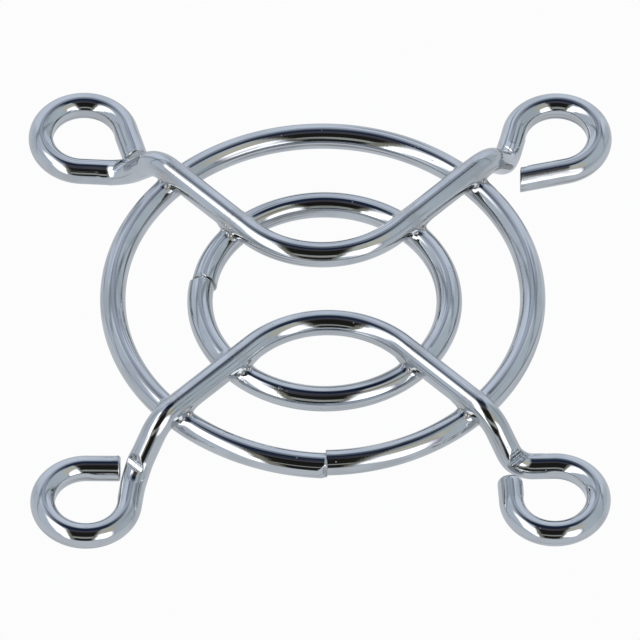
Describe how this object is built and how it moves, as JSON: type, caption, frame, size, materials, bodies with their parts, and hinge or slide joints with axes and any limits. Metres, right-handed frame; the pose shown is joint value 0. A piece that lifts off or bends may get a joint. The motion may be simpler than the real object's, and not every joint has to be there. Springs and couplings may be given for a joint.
{
  "type": "wire fan guard",
  "caption": "Welded wire guard for a small square cooling fan: concentric round rings under V-shaped legs whose ends curl into open screw eyes.",
  "frame": {"origin": "middle of the four screw eyes, in the plane that the eyes rest on against the fan", "axes": "+Z from the fan's face out to the legs, +X to the right and +Y to the rear leg's side, both square to the hole pattern"},
  "size_m": [0.0402, 0.0396, 0.0051],
  "materials": {
    "plated_wire": "bright plated steel wire"
  },
  "bodies": {
    "root": {"outer_ring": "plated_wire", "inner_ring": "plated_wire", "rear_leg": "plated_wire", "front_leg": "plated_wire"}
  },
  "joints": []
}
